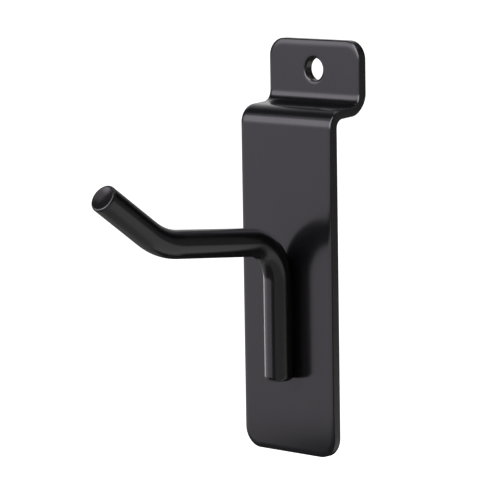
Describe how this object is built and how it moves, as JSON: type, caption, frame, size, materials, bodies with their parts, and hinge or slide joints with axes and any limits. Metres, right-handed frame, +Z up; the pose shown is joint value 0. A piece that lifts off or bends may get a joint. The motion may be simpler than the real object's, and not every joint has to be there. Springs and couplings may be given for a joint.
{
  "type": "slatwall hook",
  "caption": "Black coated steel hook for a slatwall: a bent strip whose tab goes up behind the slat's lip, with a welded round-bar arm and an upturned tip.",
  "frame": {"origin": "on the plate's wall face, in the middle of its width, half way from its bottom edge to the web's underside", "axes": "+X across the strip, +Y into the wall, +Z up; the arm reaches out along -Y"},
  "size_m": [0.025, 0.0628, 0.0839],
  "materials": {
    "black_coat": "semi-gloss black powder coat on steel"
  },
  "bodies": {
    "root": {"back_plate": "black_coat", "hook_rod": "black_coat"}
  },
  "joints": []
}
